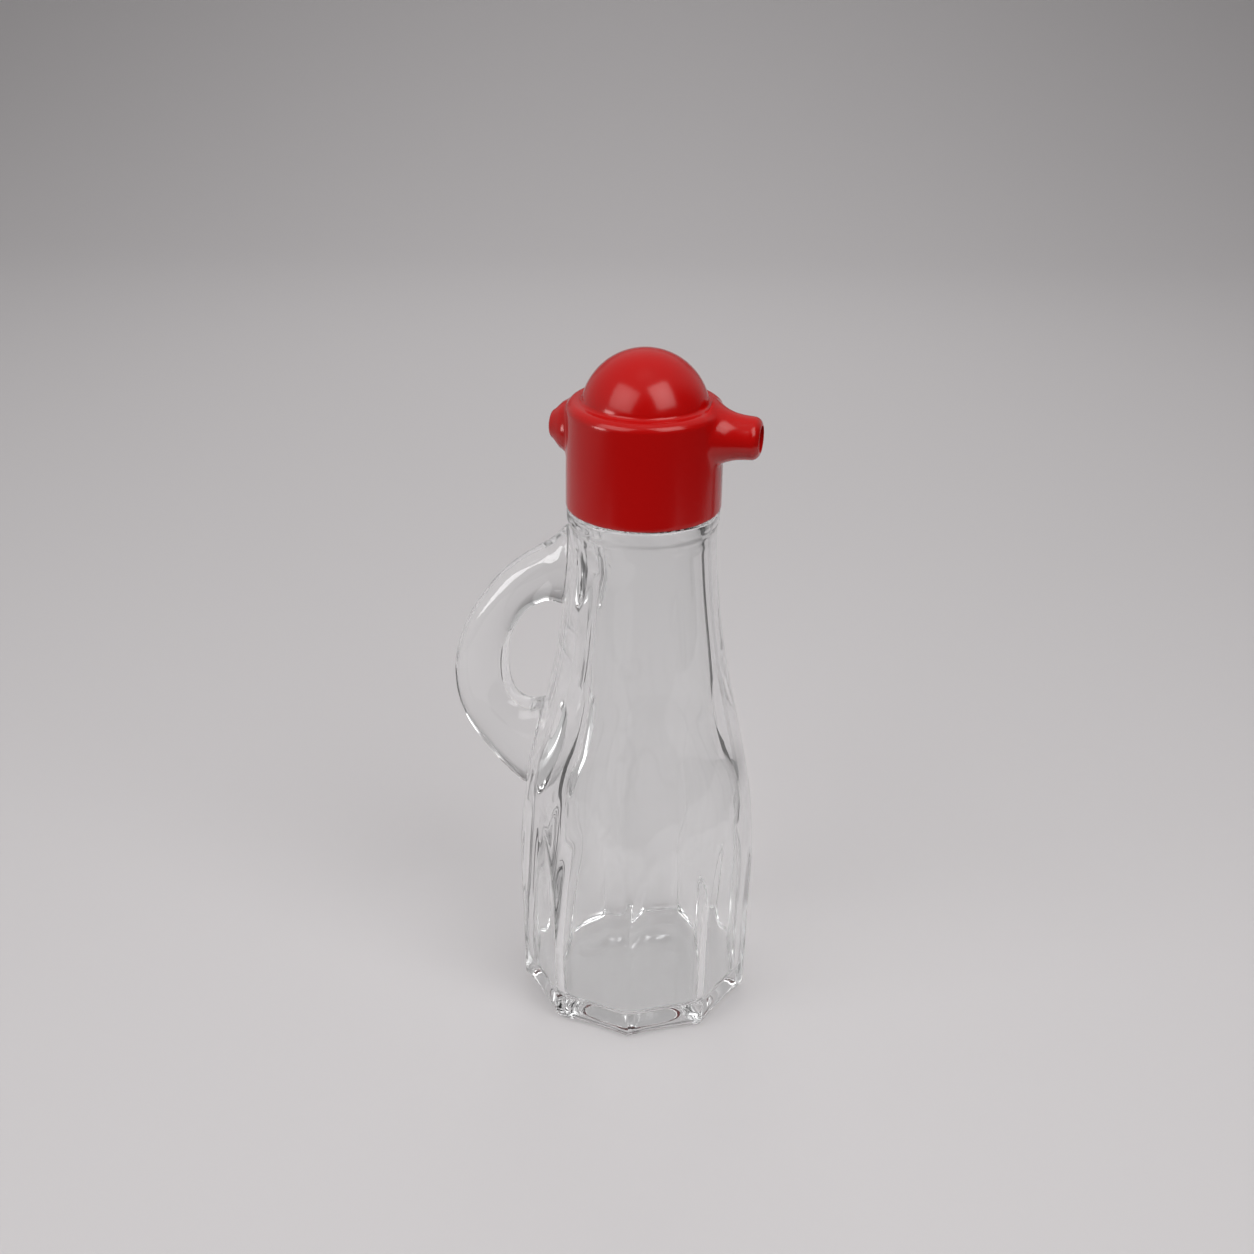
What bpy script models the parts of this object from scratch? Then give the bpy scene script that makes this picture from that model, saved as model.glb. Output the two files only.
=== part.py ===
"""A pouring cruet: a pressed glass bottle with nine hollow-ground sides, a tapered neck and a glass
loop handle, closed by a domed plastic cap with a spout in front and a small vent nozzle behind.

Metres, +Z up. The origin is on the axis, on the plane that the bottle stands on. The spout points
along +X and the handle along -X.
"""

import math

import bmesh
import bpy

MM = 0.001

SIDES = 9
POINTS_PER_SIDE = 6
RIDGE_AT_SPOUT = 0.0

FOOT_RADIUS = 27.0 * MM
FOOT_HEIGHT = 2.4 * MM
BASE_RADIUS = 27.9 * MM
SHOULDER_RADIUS = 29.0 * MM
SHOULDER_HEIGHT = 56.0 * MM
SHOULDER_BEND = 3.6 * MM
SIDES_END = 60.0 * MM
SIDES_FULL = 34.0 * MM
SIDE_HOLLOW = 0.6 * MM
INNER_SIDE_DEPTH = 0.6

TAPER_TOP = 122.0 * MM
NECK_RADIUS = 16.8 * MM
TAPER_LINEAR = 2.1 * MM
TAPER_SQUARE = 9.7 * MM

COLLAR_RADIUS = 17.1 * MM
COLLAR_BOTTOM = 123.6 * MM
COLLAR_TOP = 128.1 * MM
FINISH_RADIUS = 15.3 * MM
FINISH_TOP = 141.6 * MM
MOUTH_RADIUS = 12.9 * MM

FLOOR_HEIGHT = 5.4 * MM
FLOOR_CORNER = 2.4 * MM
LOW_WALL = 3.0 * MM
HIGH_WALL = 3.5 * MM
SHOULDER_WALL = 2.5 * MM
SHOULDER_WALL_HEIGHT = 64.0 * MM
SHOULDER_WALL_SPREAD = 12.0 * MM

HANDLE_SIDES = 14
HANDLE_STEPS = 2

GAP = 0.35 * MM

CAP_RADIUS = 17.5 * MM
CAP_BOTTOM = COLLAR_TOP + GAP
CAP_EDGE_RADIUS = 2.0 * MM
SKIRT_EDGE = 0.4 * MM
CAP_DECK = 152.7 * MM
DOME_RADIUS = 14.4 * MM
DOME_CENTRE = 149.8 * MM
DOME_FILLET = 0.9 * MM
WALL = 1.8 * MM
SKIRT_BORE = CAP_RADIUS - WALL
CHAMBER_RADIUS = 13.4 * MM
CHAMBER_FLOOR = FINISH_TOP + GAP
CHAMBER_TOP = 150.2 * MM
CAP_STEPS = 54

SPOUT_HEIGHT = 146.3 * MM
SPOUT_REACH = 26.1 * MM
SPOUT_TIP_RADIUS = 4.8 * MM
SPOUT_BORE = 3.0 * MM
VENT_HEIGHT = 145.4 * MM
VENT_REACH = 21.5 * MM
VENT_TIP_RADIUS = 3.0 * MM
VENT_BORE = 1.0 * MM
NOZZLE_STEPS = 32


def clear_scene():
    for obj in list(bpy.data.objects):
        bpy.data.objects.remove(obj, do_unlink=True)


def new_collection(name):
    collection = bpy.data.collections.new(name)
    bpy.context.scene.collection.children.link(collection)
    return collection


def add_mesh(name, vertices, edges, faces, collection):
    mesh = bpy.data.meshes.new(name)
    mesh.from_pydata(vertices, edges, faces)
    obj = bpy.data.objects.new(name, mesh)
    collection.objects.link(obj)
    return obj


def smooth_step(value, low, high):
    """0 below low, 1 above high, and an even S-curve between them."""
    share = min(1.0, max(0.0, (value - low) / (high - low)))
    return share * share * (3.0 - 2.0 * share)


def arc(centre_r, centre_z, radius, start_deg, end_deg, count):
    """Points (r, z) along an arc, both ends included; 0 degrees points outwards and 90 upwards."""
    angles = [math.radians(start_deg + (end_deg - start_deg) * i / count) for i in range(count + 1)]
    return [(centre_r + radius * math.cos(a), centre_z + radius * math.sin(a)) for a in angles]


def turned(name, profile, steps, collection):
    """A profile of (r, z) points turned about Z by a Screw modifier."""
    vertices = [(r, 0.0, z) for r, z in profile]
    edges = [(i, i + 1) for i in range(len(profile) - 1)]
    obj = add_mesh(name, vertices, edges, [], collection)
    screw = obj.modifiers.new("turn", "SCREW")
    screw.axis = "Z"
    screw.steps = steps
    screw.render_steps = steps
    screw.use_merge_vertices = True
    screw.merge_threshold = 0.01 * MM
    return obj


def apply_modifiers(obj):
    """Replaces the object's mesh with the one its modifiers make."""
    graph = bpy.context.evaluated_depsgraph_get()
    mesh = bpy.data.meshes.new_from_object(obj.evaluated_get(graph))
    obj.modifiers.clear()
    obj.data = mesh


def combine(obj, other, operation):
    """Joins other to obj, or cuts it from obj, and keeps the result as plain mesh."""
    boolean = obj.modifiers.new(operation.lower(), "BOOLEAN")
    boolean.object = other
    boolean.operation = operation
    bpy.context.view_layer.update()
    apply_modifiers(obj)


def make_cutter(obj):
    obj.hide_render = True
    obj.display_type = "WIRE"


def material(name, colour, roughness, transmission, ior):
    made = bpy.data.materials.new(name)
    made.use_nodes = True
    shader = made.node_tree.nodes["Principled BSDF"]
    shader.inputs["Base Color"].default_value = (*colour, 1.0)
    shader.inputs["Roughness"].default_value = roughness
    shader.inputs["Metallic"].default_value = 0.0
    shader.inputs["Transmission Weight"].default_value = transmission
    shader.inputs["IOR"].default_value = ior
    return made


def outer_radius(height):
    """Radius of the glass over its ridges: a nearly straight foot, a rounded shoulder, then a
    taper that is the sum of a linear and a square term of the height left to its top."""
    foot = FOOT_RADIUS + (BASE_RADIUS - FOOT_RADIUS) * smooth_step(height, 0.0, FOOT_HEIGHT)
    rise = max(0.0, height - FOOT_HEIGHT) / (SHOULDER_HEIGHT - FOOT_HEIGHT)
    low = foot + (SHOULDER_RADIUS - BASE_RADIUS) * rise
    left = max(0.0, TAPER_TOP - height) / (TAPER_TOP - SHOULDER_HEIGHT)
    high = NECK_RADIUS + TAPER_LINEAR * left + TAPER_SQUARE * left * left
    blend = (SHOULDER_BEND + low - high) / (2.0 * SHOULDER_BEND)
    blend = min(1.0, max(0.0, blend))
    return low + (high - low) * blend - SHOULDER_BEND * 0.25 * blend * (1.0 - blend)


def side_share(angle, hollow):
    """Distance to the wall at this angle for a polygon of nine sides with its ridges at 1,
    each side hollowed by a shallow arc."""
    pitch = 2.0 * math.pi / SIDES
    from_middle = (angle - RIDGE_AT_SPOUT) % pitch - pitch / 2.0
    flat = math.cos(pitch / 2.0) / math.cos(from_middle)
    along = math.tan(from_middle) / math.tan(pitch / 2.0)
    return flat - hollow / SHOULDER_RADIUS * (1.0 - along * along)


def section(radius, height, depth, hollow):
    """One closed section of the glass or of its inside: nine-sided low down, round above the
    shoulder. Depth says how much of the full sides it has."""
    count = SIDES * POINTS_PER_SIDE
    cut = depth * (1.0 - smooth_step(height, SIDES_FULL, SIDES_END))
    ring = []
    for i in range(count):
        angle = 2.0 * math.pi * i / count
        share = 1.0 - cut * (1.0 - side_share(angle, hollow))
        ring.append((radius * share * math.cos(angle), radius * share * math.sin(angle), height))
    return ring


def loft(name, rings, collection):
    """A closed solid through sections of equal count, from the lowest up."""
    count = len(rings[0])
    vertices = [point for ring in rings for point in ring]
    faces = [tuple(range(count - 1, -1, -1))]
    for level in range(len(rings) - 1):
        for i in range(count):
            a = level * count + i
            b = level * count + (i + 1) % count
            faces.append((a, b, b + count, a + count))
    faces.append(tuple((len(rings) - 1) * count + i for i in range(count)))
    obj = add_mesh(name, vertices, [], faces, collection)
    shape = bmesh.new()
    shape.from_mesh(obj.data)
    bmesh.ops.recalc_face_normals(shape, faces=shape.faces)
    shape.to_mesh(obj.data)
    shape.free()
    return obj


def levels(start, end, count):
    """Heights after start, up to and including end."""
    return [start + (end - start) * i / count for i in range(1, count + 1)]


def glass_body(collection):
    """The outside of the glass, from the foot to under the collar, as a loft of its sections."""
    heights = [0.0, 0.5 * FOOT_HEIGHT, FOOT_HEIGHT]
    heights += levels(FOOT_HEIGHT, SIDES_FULL, 2)
    heights += levels(SIDES_FULL, SIDES_END + SHOULDER_BEND, 10)
    heights += levels(SIDES_END + SHOULDER_BEND, COLLAR_BOTTOM, 8)
    rings = [section(outer_radius(height), height, 1.0, SIDE_HOLLOW) for height in heights]
    return loft("glass_bottle", rings, collection)


def neck_finish(collection):
    """The beaded collar and the plain rim that the cap goes over."""
    bead = 0.5 * (COLLAR_TOP - COLLAR_BOTTOM)
    middle = 0.5 * (COLLAR_TOP + COLLAR_BOTTOM)
    bulge = COLLAR_RADIUS - NECK_RADIUS + 0.3 * MM
    outline = [(0.0, FINISH_TOP)]
    outline += arc(FINISH_RADIUS - 1.0 * MM, FINISH_TOP - 1.0 * MM, 1.0 * MM, 90, 0, 3)
    outline += [(FINISH_RADIUS, COLLAR_TOP), (COLLAR_RADIUS - bulge, COLLAR_TOP)]
    for i in range(1, 6):
        angle = math.pi * i / 6
        outline.append((COLLAR_RADIUS - bulge * (1.0 - math.sin(angle)), middle + bead * math.cos(angle)))
    outline += [(COLLAR_RADIUS - bulge, COLLAR_BOTTOM), (COLLAR_RADIUS - bulge, COLLAR_BOTTOM - 1.0 * MM)]
    outline.append((0.0, COLLAR_BOTTOM - 1.0 * MM))
    return turned("neck_finish", outline, SIDES * POINTS_PER_SIDE, collection)


def handle_stations():
    """Stations of the loop handle from its upper root to its lower one: the outer edge and the
    edge at the finger hole, each as (distance from the axis, height), and the half thickness."""
    return [
        (11.0 * MM, 123.2 * MM, 11.0 * MM, 102.0 * MM, 5.6 * MM),
        (16.6 * MM, 122.4 * MM, 17.6 * MM, 101.8 * MM, 5.6 * MM),
        (21.7 * MM, 117.6 * MM, 22.2 * MM, 101.9 * MM, 5.2 * MM),
        (28.0 * MM, 113.1 * MM, 25.6 * MM, 100.4 * MM, 4.7 * MM),
        (33.0 * MM, 108.7 * MM, 28.4 * MM, 97.8 * MM, 4.5 * MM),
        (37.0 * MM, 103.8 * MM, 30.4 * MM, 94.6 * MM, 4.4 * MM),
        (40.8 * MM, 98.0 * MM, 31.8 * MM, 91.2 * MM, 4.4 * MM),
        (43.4 * MM, 92.4 * MM, 32.5 * MM, 87.8 * MM, 4.5 * MM),
        (45.2 * MM, 86.2 * MM, 32.6 * MM, 84.4 * MM, 4.6 * MM),
        (45.8 * MM, 80.6 * MM, 32.3 * MM, 81.0 * MM, 4.7 * MM),
        (45.3 * MM, 75.2 * MM, 31.6 * MM, 78.2 * MM, 4.8 * MM),
        (43.6 * MM, 69.8 * MM, 30.3 * MM, 76.0 * MM, 5.0 * MM),
        (41.0 * MM, 65.3 * MM, 28.3 * MM, 74.9 * MM, 5.3 * MM),
        (37.8 * MM, 61.2 * MM, 25.8 * MM, 74.9 * MM, 5.7 * MM),
        (34.4 * MM, 57.4 * MM, 23.2 * MM, 75.8 * MM, 6.2 * MM),
        (29.6 * MM, 53.6 * MM, 20.0 * MM, 76.4 * MM, 6.6 * MM),
        (22.0 * MM, 52.0 * MM, 14.0 * MM, 75.0 * MM, 6.6 * MM),
    ]


def smooth_through(stations, steps):
    """Points on a Catmull-Rom curve through the stations, with steps to each span."""
    ends = [stations[0]] + stations + [stations[-1]]
    made = []
    for k in range(len(stations) - 1):
        p0, p1, p2, p3 = ends[k : k + 4]
        for i in range(steps):
            t = i / steps
            made.append(
                tuple(
                    0.5 * (2 * b + (c - a) * t + (2 * a - 5 * b + 4 * c - d) * t**2 + (3 * b - a - 3 * c + d) * t**3)
                    for a, b, c, d in zip(p0, p1, p2, p3)
                )
            )
    return made + [stations[-1]]


def loop_handle(collection):
    """A loft of oval sections, each as wide as from the outer edge to the finger hole."""
    rings = []
    for outer_r, outer_z, inner_r, inner_z, half_thickness in smooth_through(handle_stations(), HANDLE_STEPS):
        ring = []
        for i in range(HANDLE_SIDES):
            angle = 2.0 * math.pi * i / HANDLE_SIDES
            share = 0.5 + 0.5 * math.cos(angle)
            reach = inner_r + (outer_r - inner_r) * share
            height = inner_z + (outer_z - inner_z) * share
            ring.append((-reach, half_thickness * math.sin(angle), height))
        rings.append(ring)
    return loft("loop_handle", rings, collection)


def cavity_radius(height):
    """Inner radius over the ridges: the outer one less a wall that is thickest at the shoulder."""
    wall = LOW_WALL + (HIGH_WALL - LOW_WALL) * smooth_step(height, SIDES_FULL, SHOULDER_WALL_HEIGHT)
    away = (height - SHOULDER_WALL_HEIGHT) / SHOULDER_WALL_SPREAD
    return outer_radius(height) - wall - SHOULDER_WALL * math.exp(-away * away)


def cavity(collection):
    """The inside of the bottle: a rounded floor, nine soft sides, the taper and the round mouth."""
    rings = []
    for i in range(4):
        angle = math.radians(90.0 * i / 3)
        height = FLOOR_HEIGHT + FLOOR_CORNER * (1.0 - math.cos(angle))
        radius = cavity_radius(height) - FLOOR_CORNER * (1.0 - math.sin(angle))
        rings.append(section(radius, height, INNER_SIDE_DEPTH, 0.0))
    corner = FLOOR_HEIGHT + FLOOR_CORNER
    heights = levels(corner, SIDES_FULL, 2)
    heights += levels(SIDES_FULL, SIDES_END + SHOULDER_BEND, 8)
    heights += levels(SIDES_END + SHOULDER_BEND, TAPER_TOP - 2.0 * MM, 7)
    rings += [section(cavity_radius(height), height, INNER_SIDE_DEPTH, 0.0) for height in heights]
    for height in (TAPER_TOP + 3.0 * MM, FINISH_TOP + 2.0 * MM):
        rings.append(section(MOUTH_RADIUS, height, INNER_SIDE_DEPTH, 0.0))
    return loft("cavity_cutter", rings, collection)


def nozzle(name, profile, height, facing, steps, collection):
    """A profile of (radius, distance from the cap's axis) points turned about a level line."""
    obj = turned(name, profile, steps, collection)
    apply_modifiers(obj)
    obj.location = (0.0, 0.0, height)
    obj.rotation_euler = (0.0, facing * math.pi / 2.0, 0.0)
    return obj


def spout_profile():
    """The spout from its tip to its flared root; the flare falls off with the square of the reach."""
    edge = 0.6 * MM
    outline = [(0.0, SPOUT_REACH)]
    outline += arc(SPOUT_TIP_RADIUS - edge, SPOUT_REACH - edge, edge, 90, 0, 3)
    root = CAP_RADIUS - 2.6 * MM
    for i in range(1, 7):
        reach = SPOUT_REACH - edge - (SPOUT_REACH - edge - root) * i / 6
        share = (SPOUT_REACH - reach) / (SPOUT_REACH - root)
        outline.append((SPOUT_TIP_RADIUS + 0.5 * MM * share + 2.6 * MM * share**3, reach))
    outline.append((0.0, root))
    return outline


def vent_profile():
    """The short rear nozzle: a rounded cone."""
    edge = 1.6 * MM
    root = CAP_RADIUS - 2.6 * MM
    outline = [(0.0, VENT_REACH)]
    outline += arc(VENT_TIP_RADIUS - edge + 0.6 * MM, VENT_REACH - edge, edge, 90, 20, 4)
    outline += [(5.2 * MM, 18.9 * MM), (6.2 * MM, 17.4 * MM), (6.8 * MM, root), (0.0, root)]
    return outline


def cap_outside(collection):
    """The outside of the cap as one solid: dome, fillet, deck, rounded edge and skirt."""
    dome_foot_z = CAP_DECK + DOME_FILLET
    start = math.degrees(math.asin((dome_foot_z - DOME_CENTRE) / DOME_RADIUS))
    outline = arc(0.0, DOME_CENTRE, DOME_RADIUS, 90, start, 9)
    outline[0] = (0.0, DOME_CENTRE + DOME_RADIUS)
    foot_r = outline[-1][0]
    outline.append((foot_r + 0.35 * DOME_FILLET, CAP_DECK + 0.3 * DOME_FILLET))
    outline.append((foot_r + DOME_FILLET, CAP_DECK))
    outline += arc(CAP_RADIUS - CAP_EDGE_RADIUS, CAP_DECK - CAP_EDGE_RADIUS, CAP_EDGE_RADIUS, 90, 0, 5)
    outline += arc(CAP_RADIUS - SKIRT_EDGE, CAP_BOTTOM + SKIRT_EDGE, SKIRT_EDGE, 0, -90, 2)
    outline.append((0.0, CAP_BOTTOM))
    return turned("pourer_cap", outline, CAP_STEPS, collection)


def cap_inside(collection):
    """The hollow of the cap: the bore of the skirt, the chamber over the neck and the hollow dome."""
    inner = DOME_RADIUS - WALL
    inside = math.degrees(math.asin((CHAMBER_TOP - DOME_CENTRE) / inner))
    outline = arc(0.0, DOME_CENTRE, inner, 90, inside, 6)
    outline[0] = (0.0, DOME_CENTRE + inner)
    outline += [(CHAMBER_RADIUS, CHAMBER_TOP - 0.6 * MM), (CHAMBER_RADIUS, CHAMBER_FLOOR)]
    outline += [(SKIRT_BORE, CHAMBER_FLOOR), (SKIRT_BORE, CAP_BOTTOM - 1.0 * MM), (0.0, CAP_BOTTOM - 1.0 * MM)]
    return turned("cap_hollow_cutter", outline, CAP_STEPS, collection)


def bore(name, radius, start, end, height, collection):
    """A level round cutter along X from start to end."""
    bpy.ops.mesh.primitive_cylinder_add(
        vertices=24,
        radius=radius,
        depth=abs(end - start),
        location=((start + end) / 2.0, 0.0, height),
        rotation=(0.0, math.pi / 2.0, 0.0),
    )
    obj = bpy.context.object
    obj.name = name
    for owner in list(obj.users_collection):
        owner.objects.unlink(obj)
    collection.objects.link(obj)
    return obj


def build_glass(parts, cutters):
    glass = glass_body(parts)
    collar = neck_finish(cutters)
    handle = loop_handle(cutters)
    inside = cavity(cutters)
    combine(glass, collar, "UNION")
    combine(glass, handle, "UNION")
    combine(glass, inside, "DIFFERENCE")
    for helper in (collar, handle, inside):
        make_cutter(helper)
    glass.data.materials.clear()
    glass.data.materials.append(material("clear_glass", (1.0, 1.0, 1.0), 0.02, 1.0, 1.5))
    return glass


def build_cap(parts, cutters):
    cap = cap_outside(parts)
    hollow = cap_inside(cutters)
    bpy.context.view_layer.update()
    apply_modifiers(cap)
    spout = nozzle("spout", spout_profile(), SPOUT_HEIGHT, 1.0, NOZZLE_STEPS, cutters)
    vent = nozzle("vent", vent_profile(), VENT_HEIGHT, -1.0, NOZZLE_STEPS, cutters)
    spout_hole = bore("spout_bore", SPOUT_BORE, 0.0, SPOUT_REACH + 2.0 * MM, SPOUT_HEIGHT, cutters)
    vent_hole = bore("vent_bore", VENT_BORE, -VENT_REACH - 2.0 * MM, 0.0, VENT_HEIGHT, cutters)
    bpy.context.view_layer.update()
    combine(cap, spout, "UNION")
    combine(cap, vent, "UNION")
    for cutter in (hollow, spout_hole, vent_hole):
        combine(cap, cutter, "DIFFERENCE")
    for helper in (spout, vent, hollow, spout_hole, vent_hole):
        make_cutter(helper)
    cap.data.materials.clear()
    cap.data.materials.append(material("red_plastic", (0.6, 0.01, 0.01), 0.2, 0.0, 1.49))
    return cap


def shade(obj):
    obj.data.shade_smooth()
    obj.data.set_sharp_from_angle(angle=math.radians(35.0))


clear_scene()
parts = new_collection("cruet")
cutters = new_collection("cutters")
shade(build_glass(parts, cutters))
shade(build_cap(parts, cutters))
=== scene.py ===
"""The looks of a glass cruet with a red pouring cap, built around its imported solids.

The axis of the cruet is Z, the spout points along +X and the handle along -X. Sizes of the cruet are
named in millimetres and made metres by MM; the studio's places are in metres.
"""

import math

import bmesh
import bpy
import numpy as np
from mathutils import Matrix, Vector


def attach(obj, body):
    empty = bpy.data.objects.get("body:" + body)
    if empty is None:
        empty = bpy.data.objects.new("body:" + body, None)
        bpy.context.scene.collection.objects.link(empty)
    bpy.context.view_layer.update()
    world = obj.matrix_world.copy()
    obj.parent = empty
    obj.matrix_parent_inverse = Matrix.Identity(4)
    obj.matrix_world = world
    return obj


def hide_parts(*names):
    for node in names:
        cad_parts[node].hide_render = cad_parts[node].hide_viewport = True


MM = 0.001
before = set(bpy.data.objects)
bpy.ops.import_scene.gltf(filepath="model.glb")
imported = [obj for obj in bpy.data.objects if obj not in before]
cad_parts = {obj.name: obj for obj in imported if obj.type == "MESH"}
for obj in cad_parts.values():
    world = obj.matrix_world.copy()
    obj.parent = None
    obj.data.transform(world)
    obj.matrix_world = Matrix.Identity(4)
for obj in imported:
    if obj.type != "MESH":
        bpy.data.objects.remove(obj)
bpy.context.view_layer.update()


# The bottle is one piece of clear pressed glass: nine hollow-ground sides below, a round taper above,
# a beaded collar and the rim that the cap goes over, with a loop handle drawn out of the same glass.
# Its walls are about 3 mm thick, more at the shoulder and towards the handle, and its floor 5 mm.

SIDES = 9
SIDE_ANGLE = 2.0 * math.pi / SIDES
POINTS_PER_SIDE = 24
RIDGE_CROWDING = 0.8
OUTSIDE_STEP = 0.8
INSIDE_STEP = 0.95

FOOT_RADIUS = 27.0
FOOT_HEIGHT = 2.4
FOOT_EDGE = 0.9
FOOT_SIDE_START = 1.3
BASE_RADIUS = 27.9
PUSH_UP_FLAT = 6.0
PUSH_UP_RADIUS = 20.0
PUSH_UP_DEPTH = 0.9
UNDERSIDE_TURNS_NINE_SIDED = (17.0, 24.0)

SHOULDER_RADIUS = 29.0
SHOULDER_HEIGHT = 56.0
SHOULDER_BEND = 3.6
SIDE_HOLLOW = 0.6
ARCH_START = 26.0
ARCH_TOP = 61.0
ARCH_DEPTH = 0.098
RIDGE_SHARP = 0.004
RIDGE_SOFTNESS = 0.016

TAPER_TOP = 122.0
NECK_RADIUS = 16.8
TAPER_LINEAR = 2.1
TAPER_SQUARE = 9.7

COLLAR_RADIUS = 17.3
COLLAR_INSET = 0.12
COLLAR_BOTTOM = 123.6
COLLAR_SWELL = 2.2
COLLAR_EDGE = 0.6
COLLAR_TOP = 128.1
FINISH_RADIUS = 15.3
FINISH_EDGE = 0.9
FINISH_TOP = 141.6
MOUTH_RADIUS = 12.9
MOUTH_EDGE = 0.6

FLOOR_HEIGHT = 5.4
FLOOR_CORNER = 2.4
LOW_WALL = 3.0
HIGH_WALL = 3.5
WALL_CHANGE = (34.0, 64.0)
SHOULDER_WALL = 1.5
SHOULDER_WALL_HEIGHT = 70.0
SHOULDER_WALL_SPREAD = (9.0, 16.0)
INNER_SIDE_DEPTH = 0.6
HANDLE_WALL = 0.20
HANDLE_WALL_START = (12.0, 48.0)
HANDLE_WALL_END = (113.0, 127.0)
INSIDE_TURNS_SHAPED = (10.0, 13.0)


def smooth_step(value, low, high):
    """An even S-curve from 0 at low to 1 at high: three times the share squared, less twice its cube."""
    share = np.clip((value - low) / (high - low), 0.0, 1.0)
    return share * share * (3.0 - 2.0 * share)


def smooth_min(first, second, blend):
    """The lesser of two values, with the corner where they cross rounded off by a parabola."""
    share = np.clip(0.5 + 0.5 * (second - first) / blend, 0.0, 1.0)
    return second + (first - second) * share - blend * share * (1.0 - share)


def glass_radius(height):
    """Outer radius over the ridges: a slightly flared low part and a taper that is the sum of a
    linear and a square term of the height left to its top, joined by a rounded shoulder."""
    foot = FOOT_RADIUS + (BASE_RADIUS - FOOT_RADIUS) * smooth_step(height, 0.0, FOOT_HEIGHT)
    rise = np.maximum(0.0, height - FOOT_HEIGHT) / (SHOULDER_HEIGHT - FOOT_HEIGHT)
    low = foot + (SHOULDER_RADIUS - BASE_RADIUS) * rise
    left = np.maximum(0.0, TAPER_TOP - height) / (TAPER_TOP - SHOULDER_HEIGHT)
    high = NECK_RADIUS + TAPER_LINEAR * left + TAPER_SQUARE * left * left
    return smooth_min(low, high, 2.0 * SHOULDER_BEND)


def inner_radius(height):
    """Radius of the inside: the outer one less a wall that changes by an S-curve from its low to its
    high value and has a bell-shaped swelling over the shoulder, wider above than below."""
    wall = LOW_WALL + (HIGH_WALL - LOW_WALL) * smooth_step(height, *WALL_CHANGE)
    away = height - SHOULDER_WALL_HEIGHT
    away = away / np.where(away < 0.0, *SHOULDER_WALL_SPREAD)
    return glass_radius(height) - wall - SHOULDER_WALL * np.exp(-away * away)


def side_share(angle):
    """Distance to a side of the polygon as a share of that to its ridges: the cosine rule of a
    flat side, less a parabola across it for its hollow."""
    from_middle = np.mod(angle, SIDE_ANGLE) - SIDE_ANGLE / 2.0
    flat = math.cos(SIDE_ANGLE / 2.0) / np.cos(from_middle)
    along = np.tan(from_middle) / math.tan(SIDE_ANGLE / 2.0)
    return flat - SIDE_HOLLOW / SHOULDER_RADIUS * (1.0 - along * along)


def outer_share(angle, height):
    """How much of the round form is left at this angle and height: each side leans outwards in its
    upper part and so runs out of the round shoulder in an arch, and the edge gets softer with the
    square of the lean."""
    lean = np.clip((height - ARCH_START) / (ARCH_TOP - ARCH_START), 0.0, None)
    soft = RIDGE_SHARP + (RIDGE_SOFTNESS - RIDGE_SHARP) * np.clip(lean, 0.0, 1.0) ** 2
    return smooth_min(np.ones_like(angle + height), side_share(angle) + ARCH_DEPTH * lean**2, soft)


def inner_share(angle, height):
    """The same for the inside: a cosine of nine lobes that fades at the shoulder follows the sides
    softly, and the squared half-cosine of the angle to the handle thickens the wall on that side."""
    depth = INNER_SIDE_DEPTH * (1.0 - math.cos(SIDE_ANGLE / 2.0))
    fade = 1.0 - smooth_step(height, ARCH_START, ARCH_TOP)
    thick = smooth_step(height, *HANDLE_WALL_START) * (1.0 - smooth_step(height, *HANDLE_WALL_END))
    towards = (0.5 - 0.5 * np.cos(angle)) ** 2
    return 1.0 - depth * fade * (0.5 - 0.5 * np.cos(SIDES * angle)) - HANDLE_WALL * thick * towards


def ring_angles():
    """Angles round the axis, set closer together near each ridge by taking a sine off each share."""
    share = np.arange(POINTS_PER_SIDE) / POINTS_PER_SIDE
    share = share - RIDGE_CROWDING * np.sin(2.0 * math.pi * share) / (2.0 * math.pi)
    return ((np.arange(SIDES)[:, None] + share[None, :]) * SIDE_ANGLE).ravel()


def arc_points(centre_r, centre_z, radius, start, end, count):
    """Points (r, z) along an arc in degrees, both ends included; 0 points outwards and 90 upwards."""
    turn = np.radians(np.linspace(start, end, count))
    return np.stack([centre_r + radius * np.cos(turn), centre_z + radius * np.sin(turn)], axis=1)


def rows_of(radius, height):
    """Rows of (radius, height), where either may be one value for all rows."""
    return np.stack(np.broadcast_arrays(radius, height), axis=1).astype(float)


def closed_grid(points, name, material):
    """A closed surface from rows of points: quads join each ring to the next, and a fan to the mean
    of its points closes the first ring and the last."""
    rows, count = points.shape[:2]
    body = points.reshape(-1, 3)
    ring = np.arange(count)
    after = np.roll(ring, -1)
    base = np.arange(rows - 1)[:, None] * count
    quads = np.stack([base + ring, base + after, base + count + after, base + count + ring], axis=-1)
    quads = quads.reshape(-1, 4)
    pole, last = len(body), (rows - 1) * count
    poles = np.stack([points[0].mean(axis=0), points[-1].mean(axis=0)])
    bottom = np.stack([np.full(count, pole), after, ring], axis=-1)
    top = np.stack([np.full(count, pole + 1), last + ring, last + after], axis=-1)
    faces = quads.tolist() + bottom.tolist() + top.tolist()
    mesh = bpy.data.meshes.new(name)
    mesh.from_pydata(np.vstack([body, poles]).tolist(), [], faces)
    mesh.materials.append(material)
    made = bpy.data.objects.new(name, mesh)
    bpy.context.scene.collection.objects.link(made)
    return made


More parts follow.
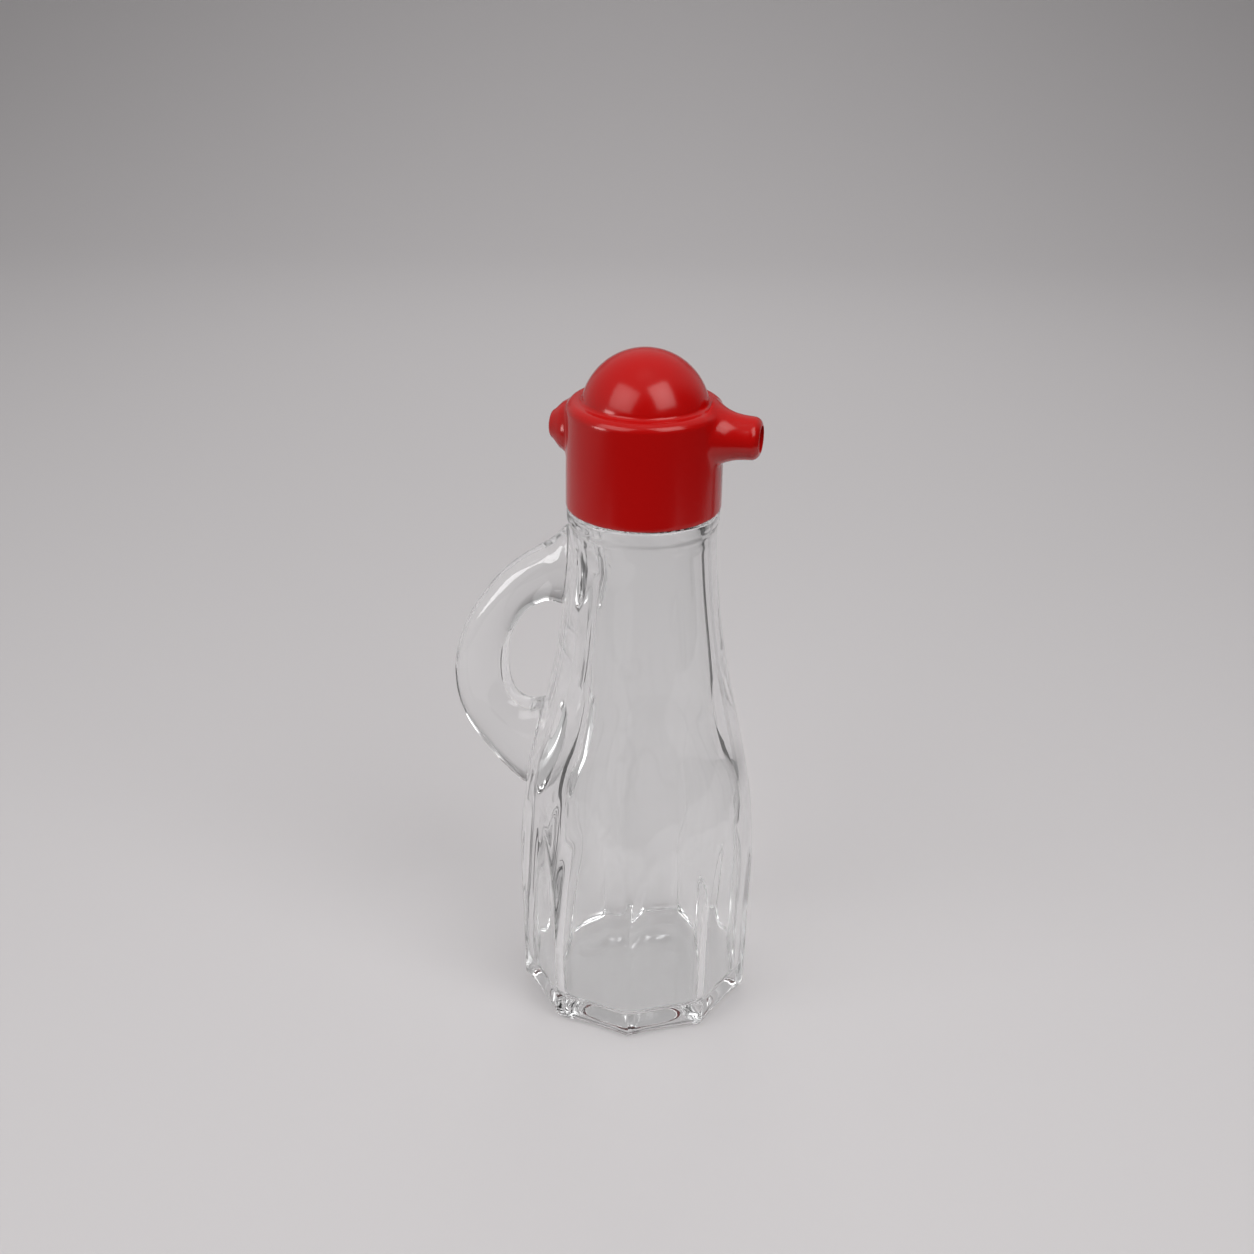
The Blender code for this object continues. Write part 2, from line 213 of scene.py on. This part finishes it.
def glass_outside():
    """Rows of (radius over the ridges, height) from the middle of the foot, past a push-up that fades
    by an S-curve, up the side, over the S-curved bead of the collar and up the neck to the rim."""
    reach = np.linspace(1.0, FOOT_RADIUS - FOOT_EDGE, 16, endpoint=False)
    push_up = PUSH_UP_DEPTH * (1.0 - smooth_step(reach, PUSH_UP_FLAT, PUSH_UP_RADIUS))
    foot = np.linspace(FOOT_SIDE_START, FOOT_HEIGHT, 3)
    side = np.arange(FOOT_HEIGHT + OUTSIDE_STEP, COLLAR_BOTTOM, OUTSIDE_STEP)
    bead = np.linspace(COLLAR_BOTTOM + 0.3, COLLAR_TOP - COLLAR_EDGE, 22)
    swell = smooth_step(bead, COLLAR_BOTTOM, COLLAR_BOTTOM + COLLAR_SWELL)
    bead_r = NECK_RADIUS - COLLAR_INSET + (COLLAR_RADIUS - NECK_RADIUS + COLLAR_INSET) * swell
    finish = np.linspace(COLLAR_TOP + 1.5, FINISH_TOP - 1.2, 9)
    return np.vstack(
        [
            rows_of(reach, push_up),
            arc_points(FOOT_RADIUS - FOOT_EDGE, FOOT_EDGE, FOOT_EDGE, -90, 0, 6),
            rows_of(glass_radius(foot), foot),
            rows_of(glass_radius(side), side),
            rows_of(bead_r, bead),
            arc_points(bead_r[-1] - COLLAR_EDGE, COLLAR_TOP - COLLAR_EDGE, COLLAR_EDGE, 15, 90, 6),
            [[FINISH_RADIUS + 0.3, COLLAR_TOP + 0.05], [FINISH_RADIUS, COLLAR_TOP + 0.4]],
            rows_of(FINISH_RADIUS, finish),
            arc_points(FINISH_RADIUS - FINISH_EDGE, FINISH_TOP - FINISH_EDGE, FINISH_EDGE, 0, 90, 6),
        ]
    )


def glass_inside():
    """Rows of (radius, height) from the rim down the mouth and the wall to the middle of the floor,
    with a quarter circle in the corner."""
    mouth = np.linspace(FINISH_TOP - 1.5, TAPER_TOP + 2.5, 12)
    wall = np.arange(TAPER_TOP - 1.5, FLOOR_HEIGHT + FLOOR_CORNER, -INSIDE_STEP)
    corner_r = float(inner_radius(FLOOR_HEIGHT + FLOOR_CORNER)) - FLOOR_CORNER
    floor = np.linspace(corner_r - 1.2, 1.0, 16)
    return np.vstack(
        [
            arc_points(MOUTH_RADIUS + MOUTH_EDGE, FINISH_TOP - MOUTH_EDGE, MOUTH_EDGE, 90, 180, 5),
            rows_of(MOUTH_RADIUS, mouth),
            rows_of(inner_radius(wall), wall),
            arc_points(corner_r, FLOOR_HEIGHT + FLOOR_CORNER, FLOOR_CORNER, 0, -90, 9),
            rows_of(floor, FLOOR_HEIGHT),
        ]
    )


def glass_body(material):
    """The turned profile, with its radius multiplied at each angle by the share of the sides. The
    shares grow in by S-curves of the radius near the middle of the foot and of the floor."""
    angle = ring_angles()[None, :]
    outside, inside = glass_outside(), glass_inside()
    under = smooth_step(outside[:, :1], *UNDERSIDE_TURNS_NINE_SIDED)
    outer_weight = np.where(outside[:, 1:] < 1.0, under, 1.0)
    inner_weight = smooth_step(inside[:, :1], *INSIDE_TURNS_SHAPED)
    outer = outside[:, :1] * (1.0 - outer_weight * (1.0 - outer_share(angle, outside[:, 1:])))
    inner = inside[:, :1] * (1.0 - inner_weight * (1.0 - inner_share(angle, inside[:, 1:])))
    reach = np.vstack([outer, inner])
    height = np.vstack([outside, inside])[:, 1:] + 0.0 * angle
    points = np.stack([reach * np.cos(angle), reach * np.sin(angle), height], axis=-1)
    return closed_grid(points * MM, "cruet_glass", material)


# Along the handle: outer reach and height, reach and height at the finger hole, half thickness.
HANDLE_STATIONS = np.array(
    [
        (10.5, 122.6, 11.0, 102.2, 5.8),
        (16.4, 122.6, 17.6, 101.6, 5.5),
        (21.7, 117.6, 22.0, 102.1, 4.8),
        (28.0, 113.1, 25.6, 100.4, 4.6),
        (33.0, 108.7, 28.4, 97.8, 4.5),
        (37.0, 103.8, 30.4, 94.6, 4.4),
        (40.8, 98.0, 31.8, 91.2, 4.4),
        (43.4, 92.4, 32.5, 87.8, 4.5),
        (45.2, 86.2, 32.6, 84.4, 4.6),
        (45.8, 80.6, 32.3, 81.0, 4.7),
        (45.3, 75.2, 31.6, 78.2, 4.8),
        (43.6, 69.8, 30.3, 76.0, 5.0),
        (41.0, 65.3, 28.3, 74.9, 5.2),
        (37.8, 61.2, 25.9, 74.8, 5.4),
        (34.4, 57.4, 23.4, 75.8, 5.7),
        (29.6, 53.2, 20.6, 77.0, 6.1),
        (25.6, 51.0, 18.6, 76.0, 6.1),
    ]
)
HANDLE_STEPS = 9
HANDLE_POINTS = 56
HANDLE_SQUARENESS = 0.9


def through_stations(stations, steps):
    """Rows on a smooth curve through the stations: on each span, the cubic whose slope at each end
    is half the step between that end's two neighbours."""
    padded = np.vstack([2.0 * stations[0] - stations[1], stations, 2.0 * stations[-1] - stations[-2]])
    share = (np.arange(steps) / steps)[None, :, None]
    before, start, end, after = (padded[k : len(stations) - 1 + k, None, :] for k in range(4))
    linear = (end - before) * share
    square = (2.0 * before - 5.0 * start + 4.0 * end - after) * share**2
    cube = (3.0 * start - before - 3.0 * end + after) * share**3
    made = 0.5 * (2.0 * start + linear + square + cube)
    return np.vstack([made.reshape(-1, stations.shape[1]), stations[-1:]])


def loop_handle(material):
    """Oval rings carried along the loop, each as wide as from the outer edge to the finger hole.
    The powers of the sine and cosine make the oval a little fuller than an ellipse."""
    rows = through_stations(HANDLE_STATIONS, HANDLE_STEPS)
    outer_r, outer_z, inner_r, inner_z, thick = rows.T[:, :, None]
    turn = 2.0 * math.pi * np.arange(HANDLE_POINTS)[None, :] / HANDLE_POINTS
    across = np.sign(np.cos(turn)) * np.abs(np.cos(turn)) ** HANDLE_SQUARENESS
    aside = np.sign(np.sin(turn)) * np.abs(np.sin(turn)) ** HANDLE_SQUARENESS
    share = 0.5 + 0.5 * across
    reach = inner_r + (outer_r - inner_r) * share
    height = inner_z + (outer_z - inner_z) * share
    points = np.stack([-reach, thick * aside, height], axis=-1)
    return closed_grid(points * MM, "cruet_handle", material)


def point_outwards(piece):
    """Turns the faces of a closed mesh to the outside."""
    shape = bmesh.new()
    shape.from_mesh(piece.data)
    bmesh.ops.recalc_face_normals(shape, faces=shape.faces)
    shape.to_mesh(piece.data)
    shape.free()


def joined(piece, other, operation):
    """The union or difference of two closed pieces, as a plain mesh; the second piece is used up."""
    step = piece.modifiers.new("join", "BOOLEAN")
    step.object = other
    step.operation = operation
    step.solver = "EXACT"
    bpy.context.view_layer.update()
    graph = bpy.context.evaluated_depsgraph_get()
    made = bpy.data.meshes.new_from_object(piece.evaluated_get(graph))
    piece.modifiers.clear()
    piece.data = made
    bpy.data.objects.remove(other, do_unlink=True)


def mark_second(first, second, material):
    """Gives both pieces two equal material slots and the second piece the second one, so that the
    seam between them can be found after they are joined."""
    for piece in (first, second):
        if len(piece.data.materials) < 2:
            piece.data.materials.append(material)
    marked = np.ones(len(second.data.polygons), dtype=np.int32)
    second.data.polygons.foreach_set("material_index", marked)


def read_all(items, attribute, width, kind):
    """One attribute of all vertices, edges, loops or faces as an array."""
    values = np.empty(len(items) * width, dtype=kind)
    items.foreach_get(attribute, values)
    return values.reshape(-1, width) if width > 1 else values


SHORTEST_EDGE = 0.02 * MM


def soften_seam(piece, rings, rounds):
    """Rounds the crease where two joined pieces meet: each point within some rings of faces of the
    seam goes halfway to the mean of the points that edges join it to, several times over."""
    shape = bmesh.new()
    shape.from_mesh(piece.data)
    bmesh.ops.dissolve_degenerate(shape, dist=SHORTEST_EDGE, edges=shape.edges)
    shape.to_mesh(piece.data)
    shape.free()
    mesh = piece.data
    points = read_all(mesh.vertices, "co", 3, np.float32).astype(float)
    ends = read_all(mesh.edges, "vertices", 2, np.int32)
    corner = read_all(mesh.loops, "vertex_index", 1, np.int32)
    source = read_all(mesh.polygons, "material_index", 1, np.int32)
    face = np.repeat(np.arange(len(source)), read_all(mesh.polygons, "loop_total", 1, np.int32))
    lowest, highest = np.full(len(points), 2), np.full(len(points), -1)
    np.minimum.at(lowest, corner, source[face])
    np.maximum.at(highest, corner, source[face])
    near = highest > lowest
    for _ in range(rings):
        touched = np.zeros(len(source), dtype=bool)
        touched[face[near[corner]]] = True
        near[corner[touched[face]]] = True
    neighbours = np.maximum(1, np.bincount(ends.ravel(), minlength=len(points)))[:, None]
    for _ in range(rounds):
        total = np.zeros_like(points)
        np.add.at(total, ends[:, 0], points[ends[:, 1]])
        np.add.at(total, ends[:, 1], points[ends[:, 0]])
        points[near] = 0.5 * (points + total / neighbours)[near]
    mesh.vertices.foreach_set("co", points.ravel().astype(np.float32))
    mesh.polygons.foreach_set("material_index", np.zeros(len(source), dtype=np.int32))
    mesh.polygons.foreach_set("use_smooth", np.ones(len(source), dtype=bool))
    mesh.update()


def clear_glass():
    """Colourless glass: a smooth clear Principled surface. Its shadow is thinned by a transparent
    shader that darkens towards grazing angles, as light really passes and gathers behind a bottle."""
    made = bpy.data.materials.new("clear_glass")
    made.use_nodes = True
    tree = made.node_tree
    shader = tree.nodes["Principled BSDF"]
    shader.inputs["Base Color"].default_value = (0.985, 0.99, 0.99, 1.0)
    shader.inputs["Roughness"].default_value = 0.0
    shader.inputs["Metallic"].default_value = 0.0
    shader.inputs["Transmission Weight"].default_value = 1.0
    shader.inputs["IOR"].default_value = 1.5
    clear = tree.nodes.new("ShaderNodeBsdfTransparent")
    facing = tree.nodes.new("ShaderNodeLayerWeight")
    facing.inputs["Blend"].default_value = 0.5
    thinned = tree.nodes.new("ShaderNodeMapRange")
    thinned.inputs["From Min"].default_value = 0.3
    thinned.inputs["From Max"].default_value = 1.0
    thinned.inputs["To Min"].default_value = 0.84
    thinned.inputs["To Max"].default_value = 0.35
    path = tree.nodes.new("ShaderNodeLightPath")
    mix = tree.nodes.new("ShaderNodeMixShader")
    tree.links.new(facing.outputs["Facing"], thinned.inputs["Value"])
    tree.links.new(thinned.outputs["Result"], clear.inputs["Color"])
    tree.links.new(path.outputs["Is Shadow Ray"], mix.inputs["Fac"])
    tree.links.new(shader.outputs["BSDF"], mix.inputs[1])
    tree.links.new(clear.outputs["BSDF"], mix.inputs[2])
    tree.links.new(mix.outputs["Shader"], tree.nodes["Material Output"].inputs["Surface"])
    return made


glass_finish = clear_glass()
glass = glass_body(glass_finish)
handle = loop_handle(glass_finish)
point_outwards(glass)
point_outwards(handle)
mark_second(glass, handle, glass_finish)
joined(glass, handle, "UNION")
soften_seam(glass, 2, 6)
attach(glass, "root")
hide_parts("glass_bottle")


# The pouring cap is moulded in glossy red plastic and pushed over the neck: a plain skirt with a
# rounded edge, a domed chamber, a spout that flares out of the skirt in front and a short vent nozzle
# behind. Its walls are 1.8 mm thick.

CAP_RADIUS = 17.5
CAP_BOTTOM = 128.45
CAP_RIM_EDGE = 0.4
CAP_EDGE_RADIUS = 2.0
CAP_DECK = 152.7
DOME_RADIUS = 14.4
DOME_CENTRE = 149.8
DOME_FILLET = 0.9
CAP_WALL = 1.8
CHAMBER_RADIUS = 13.4
CHAMBER_FLOOR = 141.95
CHAMBER_TOP = 150.2
CAP_POINTS = 180
CAP_SHARP_ANGLE = math.radians(40.0)

SPOUT_HEIGHT = 146.3
SPOUT_REACH = 26.1
SPOUT_TIP_RADIUS = 4.8
SPOUT_EDGE = 2.0
SPOUT_FLARE = (0.5, 3.3)
SPOUT_BORE = 3.0
VENT_HEIGHT = 145.4
VENT_REACH = 21.5
VENT_TIP_RADIUS = 3.6
VENT_EDGE = 1.6
VENT_SIDE = [(5.2, 18.9), (6.2, 17.4)]
VENT_ROOT_RADIUS = 6.8
VENT_BORE = 1.0
NOZZLE_ROOT = 14.9
NOZZLE_POINTS = 96
BORE_START = 11.0
BORE_POINTS = 48


def evenly(outline, step):
    """Points at about equal steps along an outline given by its corners, every corner kept."""
    outline = np.asarray(outline, dtype=float)
    length = np.hypot(*np.diff(outline, axis=0).T)
    count = np.maximum(1, np.ceil(length / step).astype(int))
    span = np.repeat(np.arange(len(count)), count)
    share = (np.arange(len(span)) - np.repeat(np.cumsum(count) - count, count)) / count[span]
    made = outline[span] + (outline[span + 1] - outline[span]) * share[:, None]
    return np.vstack([made, outline[-1:]])


def turned(outline, count, name, material):
    """A solid of revolution round the Z axis from (radius, height) rows, closed at both poles."""
    angle = 2.0 * math.pi * np.arange(count)[None, :] / count
    radius, height = outline[:, :1], outline[:, 1:]
    points = np.stack([radius * np.cos(angle), radius * np.sin(angle), height + 0.0 * angle], axis=-1)
    made = closed_grid(points * MM, name, material)
    point_outwards(made)
    return made


def laid_along_x(piece, height, facing):
    """Turns a piece made round the Z axis to lie along +X or -X at a height."""
    quarter = Matrix.Rotation(facing * math.pi / 2.0, 4, "Y")
    piece.data.transform(Matrix.Translation((0.0, 0.0, height * MM)) @ quarter)


def cap_outside():
    """Rows from the top of the dome to the bottom of the skirt: an arc for the dome, a hollow arc at
    its foot, a quarter circle out of the deck, a straight skirt, a small edge and the flat below."""
    start = math.degrees(math.asin((CAP_DECK + DOME_FILLET - DOME_CENTRE) / DOME_RADIUS))
    dome = arc_points(0.0, DOME_CENTRE, DOME_RADIUS, 88.5, start, 40)
    foot = float(dome[-1, 0])
    skirt_top, skirt_bottom = CAP_DECK - CAP_EDGE_RADIUS, CAP_BOTTOM + CAP_RIM_EDGE
    return np.vstack(
        [
            dome,
            arc_points(foot + DOME_FILLET, CAP_DECK + DOME_FILLET, DOME_FILLET, 190, 270, 7),
            arc_points(CAP_RADIUS - CAP_EDGE_RADIUS, skirt_top, CAP_EDGE_RADIUS, 90, 0, 12),
            evenly([(CAP_RADIUS, skirt_top), (CAP_RADIUS, skirt_bottom)], 0.8)[1:-1],
            arc_points(CAP_RADIUS - CAP_RIM_EDGE, skirt_bottom, CAP_RIM_EDGE, 0, -90, 5),
            evenly([(CAP_RADIUS - CAP_RIM_EDGE, CAP_BOTTOM), (1.0, CAP_BOTTOM)], 1.5)[1:],
        ]
    )


def cap_hollow():
    """Rows of the hollow: an arc one wall inside the dome, then straight lines down the chamber over
    the neck, out to the bore of the skirt and past its bottom."""
    inner = DOME_RADIUS - CAP_WALL
    inside = math.degrees(math.asin((CHAMBER_TOP - DOME_CENTRE) / inner))
    dome = arc_points(0.0, DOME_CENTRE, inner, 88.0, inside, 20)
    bore_r, below = CAP_RADIUS - CAP_WALL, CAP_BOTTOM - 1.0
    corners = [(CHAMBER_RADIUS, CHAMBER_TOP - 0.6), (CHAMBER_RADIUS, CHAMBER_FLOOR)]
    corners += [(bore_r, CHAMBER_FLOOR), (bore_r, below), (1.0, below)]
    return np.vstack([dome, evenly(corners, 1.5)])


def spout_outline():
    """Rows of (radius, reach) from the tip to the root: a flat face, a quarter circle and a side
    whose radius grows with the way in and with its cube."""
    flat = SPOUT_TIP_RADIUS - SPOUT_EDGE
    share = np.linspace(0.0, 1.0, 26)[1:, None]
    reach = SPOUT_REACH - SPOUT_EDGE - (SPOUT_REACH - SPOUT_EDGE - NOZZLE_ROOT) * share
    flare = SPOUT_TIP_RADIUS + SPOUT_FLARE[0] * share + SPOUT_FLARE[1] * share**3
    return np.vstack(
        [
            evenly([(0.6, SPOUT_REACH), (flat, SPOUT_REACH)], 0.5)[:-1],
            arc_points(flat, SPOUT_REACH - SPOUT_EDGE, SPOUT_EDGE, 90, 0, 7),
            np.hstack([flare, reach]),
            evenly([(float(flare[-1, 0]), NOZZLE_ROOT), (0.6, NOZZLE_ROOT)], 0.8)[1:],
        ]
    )


def vent_outline():
    """Rows of (radius, reach) of the short rear nozzle: a flat face, an arc and a cone of straight
    lines that widens inwards."""
    flat = VENT_TIP_RADIUS - VENT_EDGE
    return np.vstack(
        [
            evenly([(0.4, VENT_REACH), (flat, VENT_REACH)], 0.4)[:-1],
            arc_points(flat, VENT_REACH - VENT_EDGE, VENT_EDGE, 90, 25, 9),
            evenly([*VENT_SIDE, (VENT_ROOT_RADIUS, NOZZLE_ROOT)], 0.5),
            evenly([(VENT_ROOT_RADIUS, NOZZLE_ROOT), (0.6, NOZZLE_ROOT)], 0.8)[1:],
        ]
    )


def rod(radius, start, end):
    """Rows of a plain round rod from one reach to another."""
    return evenly([(0.3, start), (radius, start), (radius, end), (0.3, end)], 1.0)


def red_plastic():
    """Glossy opaque red plastic; its reflections take on a little of its own colour."""
    made = bpy.data.materials.new("red_plastic")
    made.use_nodes = True
    shader = made.node_tree.nodes["Principled BSDF"]
    shader.inputs["Base Color"].default_value = (0.51, 0.0035, 0.003, 1.0)
    shader.inputs["Roughness"].default_value = 0.17
    shader.inputs["Metallic"].default_value = 0.0
    shader.inputs["IOR"].default_value = 1.5
    shader.inputs["Specular Tint"].default_value = (1.0, 0.75, 0.73, 1.0)
    return made


cap_finish = red_plastic()
cap = turned(cap_outside(), CAP_POINTS, "cap_shell", cap_finish)
spout = turned(spout_outline(), NOZZLE_POINTS, "cap_spout", cap_finish)
laid_along_x(spout, SPOUT_HEIGHT, 1.0)
vent = turned(vent_outline(), NOZZLE_POINTS, "cap_vent", cap_finish)
laid_along_x(vent, VENT_HEIGHT, -1.0)
for nozzle in (spout, vent):
    mark_second(cap, nozzle, cap_finish)
    joined(cap, nozzle, "UNION")
soften_seam(cap, 3, 12)
joined(cap, turned(cap_hollow(), CAP_POINTS // 2, "cap_hollow", cap_finish), "DIFFERENCE")
bores = [
    (SPOUT_BORE, SPOUT_HEIGHT, 1.0, SPOUT_REACH),
    (VENT_BORE, VENT_HEIGHT, -1.0, VENT_REACH),
]
for radius, height, facing, tip in bores:
    bore = turned(rod(radius, BORE_START, tip + 2.0), BORE_POINTS, "cap_bore", cap_finish)
    laid_along_x(bore, height, facing)
    joined(cap, bore, "DIFFERENCE")
cap.data.polygons.foreach_set("use_smooth", np.ones(len(cap.data.polygons), dtype=bool))
cap.data.set_sharp_from_angle(angle=CAP_SHARP_ANGLE)
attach(cap, "root")
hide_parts("pourer_cap")


# The studio: a sheet of pale paper that the cruet stands on and that bends up behind it, soft boxes
# in front, above and behind, cards and small boxes that only the glass or only reflections show, and
# the camera. Places are given as the camera sees them, from the middle of the foot.

VIEW_YAW = math.radians(13.71)
VIEW_RIGHT = Vector((math.cos(VIEW_YAW), math.sin(VIEW_YAW), 0.0))
VIEW_AHEAD = Vector((-math.sin(VIEW_YAW), math.cos(VIEW_YAW), 0.0))

PAPER_COLOUR = (0.635, 0.615, 0.62)
PAPER_FRONT = -0.22
PAPER_BEND_START = 0.75
PAPER_BEND_RADIUS = 0.45
PAPER_TOP = 0.5
PAPER_FRONT_HALF_WIDTH = 0.26
PAPER_WIDENING = 0.28
PAPER_GAP = 0.1 * MM


def from_view(right, ahead, up):
    """A place that far to the right of, beyond and above the middle of the foot."""
    return tuple(VIEW_RIGHT * right + VIEW_AHEAD * ahead + Vector((0.0, 0.0, up)))


def plain_material(name, colour):
    """A matt surface of one colour."""
    made = bpy.data.materials.new(name)
    made.use_nodes = True
    shader = made.node_tree.nodes["Principled BSDF"]
    shader.inputs["Base Color"].default_value = (*colour, 1.0)
    shader.inputs["Roughness"].default_value = 0.9
    return made


def paper_sweep():
    """The floor and backdrop: a line along the floor that bends up through a quarter circle, carried
    straight across, with a half width that grows evenly with the way beyond its front edge."""
    back = PAPER_BEND_START + PAPER_BEND_RADIUS
    bend = arc_points(PAPER_BEND_START, PAPER_BEND_RADIUS, PAPER_BEND_RADIUS, -90, 0, 25)
    line = np.vstack([[PAPER_FRONT, 0.0], bend, [back, PAPER_TOP]])
    ahead, up = line[:, :1], line[:, 1:]
    half_width = PAPER_FRONT_HALF_WIDTH + PAPER_WIDENING * (ahead - PAPER_FRONT)
    side = half_width * np.array([[-1.0, 1.0]])
    east = VIEW_RIGHT.x * side + VIEW_AHEAD.x * ahead
    north = VIEW_RIGHT.y * side + VIEW_AHEAD.y * ahead
    points = np.stack([east, north, up - PAPER_GAP + 0.0 * side], axis=-1).reshape(-1, 3)
    row = 2 * np.arange(len(line) - 1)
    faces = np.stack([row, row + 1, row + 3, row + 2], axis=-1)
    mesh = bpy.data.meshes.new("studio_floor")
    mesh.from_pydata(points.tolist(), [], faces.tolist())
    mesh.materials.append(plain_material("studio_floor", PAPER_COLOUR))
    mesh.polygons.foreach_set("use_smooth", np.ones(len(faces), dtype=bool))
    made = bpy.data.objects.new("studio_floor", mesh)
    bpy.context.scene.collection.objects.link(made)
    return made


paper_sweep()

OPEN_BEAM = math.pi
GRIDDED_BEAM = math.radians(100.0)
NARROW_BEAM = math.radians(60.0)


def soft_box(name, place, aim, size, watts, beam=OPEN_BEAM, unseen=()):
    """A rectangular soft box at a place, turned to shine at a point, with the width of its beam and
    the kinds of rays that don't see it."""
    data = bpy.data.lights.new(name, "AREA")
    data.shape = "RECTANGLE"
    data.size, data.size_y = size
    data.energy = watts
    data.spread = beam
    lamp = bpy.data.objects.new(name, data)
    lamp.location = from_view(*place)
    lamp.rotation_euler = (Vector(from_view(*aim)) - lamp.location).to_track_quat("-Z", "Y").to_euler()
    lamp.visible_diffuse = "diffuse" not in unseen
    lamp.visible_glossy = "glossy" not in unseen
    lamp.visible_transmission = "transmission" not in unseen
    bpy.context.scene.collection.objects.link(lamp)


ON_CRUET = (0.0, 0.0, 0.06)
soft_box("left_box", (-0.60, -0.51, 0.71), ON_CRUET, (0.80, 0.70), 1.32, GRIDDED_BEAM)
soft_box("right_box", (0.48, -0.546, 0.84), ON_CRUET, (0.66, 0.80), 1.80, GRIDDED_BEAM)

# Two boxes light only the paper and the cap: one over the paper behind, one over the foot.
HIDDEN = ("glossy", "transmission")
soft_box("paper_box", (0.0, 0.60, 0.55), (0.0, 0.62, 0.0), (0.3, 0.3), 0.78, OPEN_BEAM, HIDDEN)
soft_box("top_box", (0.0, -0.06, 0.80), (0.0, -0.08, 0.0), (0.3, 0.3), 0.085, NARROW_BEAM, HIDDEN)

# A strip gives the handle its white band, and a pale box keeps the glass bright on the near left.
STRIP_AIM = (-0.04, 0.0, 0.105)
ONLY_GLOSS = ("diffuse", "transmission")
ONLY_GLASS = ("diffuse", "glossy")
soft_box("strip_box", (-0.575, -0.25, 0.135), STRIP_AIM, (0.20, 0.22), 0.95, OPEN_BEAM, ONLY_GLOSS)
soft_box("pale_box", (-0.26, -0.20, 0.09), (0.0, 0.0, 0.07), (0.28, 0.18), 0.07, OPEN_BEAM, ONLY_GLASS)

# Each card: the places (right, ahead) of its near and far edges, and the height of its top.
CARD_COLOUR = (0.11, 0.11, 0.11)
LEFT_CARD = ((-0.118, 0.064), (-0.124, 0.090), 0.045)
RIGHT_CARD = ((0.150, 0.068), (0.157, 0.102), 0.125)


def dark_card(near, far, top):
    """A dark upright card beside the cruet that only glass and reflections show: it gives the clear
    walls their thin dark lines."""
    corners = [(*near, 0.0), (*far, 0.0), (*far, top), (*near, top)]
    mesh = bpy.data.meshes.new("studio_flag")
    mesh.from_pydata([from_view(*corner) for corner in corners], [], [(0, 1, 2, 3)])
    mesh.materials.append(plain_material("studio_flag", CARD_COLOUR))
    made = bpy.data.objects.new("studio_flag", mesh)
    made.visible_camera = False
    made.visible_shadow = False
    made.visible_diffuse = False
    bpy.context.scene.collection.objects.link(made)
    return made


dark_card(*LEFT_CARD)
dark_card(*RIGHT_CARD)

# The room is pale behind and to the left, and dark towards the camera: its strength is an S-curve of
# how far a direction leans to the pale side.
PALE_SIDE = from_view(-0.45, 0.65, 0.6)
ROOM_CHANGE = (-0.25, 0.3)
ROOM_STRENGTH = (0.04, 0.40)
room = bpy.data.worlds.new("studio")
bpy.context.scene.world = room
room.use_nodes = True
nodes, links = room.node_tree.nodes, room.node_tree.links
heading = nodes.new("ShaderNodeTexCoord")
lean = nodes.new("ShaderNodeVectorMath")
lean.operation = "DOT_PRODUCT"
lean.inputs[1].default_value = PALE_SIDE
strength = nodes.new("ShaderNodeMapRange")
strength.interpolation_type = "SMOOTHSTEP"
strength.inputs["From Min"].default_value, strength.inputs["From Max"].default_value = ROOM_CHANGE
strength.inputs["To Min"].default_value, strength.inputs["To Max"].default_value = ROOM_STRENGTH
nodes["Background"].inputs["Color"].default_value = (1.0, 0.98, 0.985, 1.0)
links.new(heading.outputs["Generated"], lean.inputs[0])
links.new(lean.outputs["Value"], strength.inputs["Value"])
links.new(strength.outputs["Result"], nodes["Background"].inputs["Strength"])

# Light crosses up to four walls of clear glass, with reflections inside each, before it comes out.
bpy.context.scene.view_settings.view_transform = "Standard"
bpy.context.scene.cycles.max_bounces = 32
bpy.context.scene.cycles.transmission_bounces = 32
bpy.context.scene.cycles.glossy_bounces = 16
bpy.context.scene.cycles.transparent_max_bounces = 16

CAMERA_PLACE = (-0.0033075, -0.36715, 0.27335)
CAMERA_PITCH = math.radians(25.58)
CAMERA_ROLL = math.radians(0.85)
CAMERA_SENSOR = 36.0
CAMERA_LENS = 50.24
camera_data = bpy.data.cameras.new("camera")
camera_data.sensor_width = CAMERA_SENSOR
camera_data.sensor_height = CAMERA_SENSOR
camera_data.sensor_fit = "HORIZONTAL"
camera_data.lens = CAMERA_LENS
camera = bpy.data.objects.new("camera", camera_data)
aimed = Matrix.Rotation(VIEW_YAW, 4, "Z") @ Matrix.Rotation(math.pi / 2.0 - CAMERA_PITCH, 4, "X")
aimed = aimed @ Matrix.Rotation(CAMERA_ROLL, 4, "Z")
camera.matrix_world = Matrix.Translation(from_view(*CAMERA_PLACE)) @ aimed
bpy.context.scene.collection.objects.link(camera)
bpy.context.scene.camera = camera
